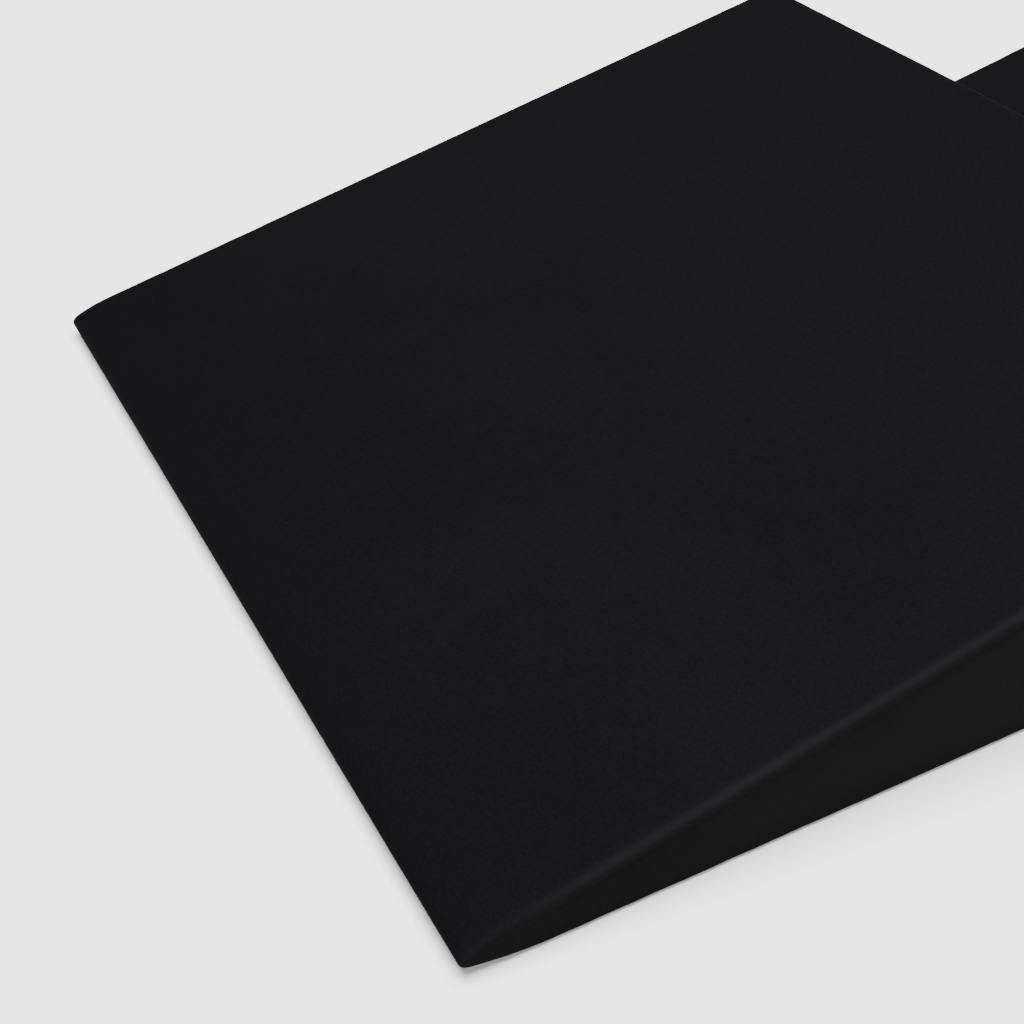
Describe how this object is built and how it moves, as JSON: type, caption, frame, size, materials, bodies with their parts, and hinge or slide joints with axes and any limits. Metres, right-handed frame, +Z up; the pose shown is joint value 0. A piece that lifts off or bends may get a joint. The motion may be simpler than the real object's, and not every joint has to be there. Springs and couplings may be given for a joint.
{
  "type": "slant board",
  "caption": "Low wedge slant boards for standing calf stretches: firm foam cores in black zipped covers with a thin rounded nose, a high square back and a dotted non-slip base.",
  "frame": {"origin": "on the floor, at the middle of the bottom of the pair's bounding box", "axes": "+X up the slope, from the thin noses to the high backs; +Y across the boards; +Z up"},
  "size_m": [0.7532, 0.356, 0.0895],
  "materials": {
    "cover_cloth": "matte coated cloth, near-black, fine grain",
    "grip_cloth": "matte black non-slip cloth with rubber dots",
    "foam": "charcoal closed-cell foam",
    "zip_tape": "black woven polyester tape",
    "zip_coil": "black nylon coil",
    "zip_metal": "black enamelled zinc"
  },
  "bodies": {
    "front_wedge": {"front_foam_core": "foam", "front_top_cover": "cover_cloth", "front_base_panel": "grip_cloth", "front_near_side_panel": "cover_cloth", "front_far_side_panel": "cover_cloth", "front_back_panel_upper": "cover_cloth", "front_back_panel_lower": "cover_cloth", "front_zip_tape_upper": "zip_tape", "front_zip_tape_lower": "zip_tape", "front_zip_teeth_upper": "zip_coil", "front_zip_teeth_lower": "zip_coil", "front_zip_stops": "zip_metal"},
    "front_slider": {"front_zip_slider": "zip_metal"},
    "front_pull": {"front_zip_pull": "zip_metal"},
    "rear_wedge": {"rear_foam_core": "foam", "rear_top_cover": "cover_cloth", "rear_base_panel": "grip_cloth", "rear_near_side_panel": "cover_cloth", "rear_far_side_panel": "cover_cloth", "rear_back_panel_upper": "cover_cloth", "rear_back_panel_lower": "cover_cloth", "rear_zip_tape_upper": "zip_tape", "rear_zip_tape_lower": "zip_tape", "rear_zip_teeth_upper": "zip_coil", "rear_zip_teeth_lower": "zip_coil", "rear_zip_stops": "zip_metal"},
    "rear_slider": {"rear_zip_slider": "zip_metal"},
    "rear_pull": {"rear_zip_pull": "zip_metal"}
  },
  "joints": [
    {"name": "rear_wedge_slide", "type": "slide", "parent": "front_wedge", "child": "rear_wedge", "axis": [1, 0, 0], "range_m": [-0.06, 0.4]},
    {"name": "front_zip_travel", "type": "slide", "parent": "front_wedge", "child": "front_slider", "axis": [0, 1, 0], "range_m": [0, 0.257]},
    {"name": "front_pull_swing", "type": "hinge", "parent": "front_slider", "child": "front_pull", "pos_m": [-0.034, -0.1285, 0.044], "axis": [0, 0, -1], "range_deg": [0, 175]},
    {"name": "rear_zip_travel", "type": "slide", "parent": "rear_wedge", "child": "rear_slider", "axis": [0, 1, 0], "range_m": [0, 0.257]},
    {"name": "rear_pull_swing", "type": "hinge", "parent": "rear_slider", "child": "rear_pull", "pos_m": [0.375, -0.1285, 0.044], "axis": [0, 0, -1], "range_deg": [0, 175]}
  ]
}
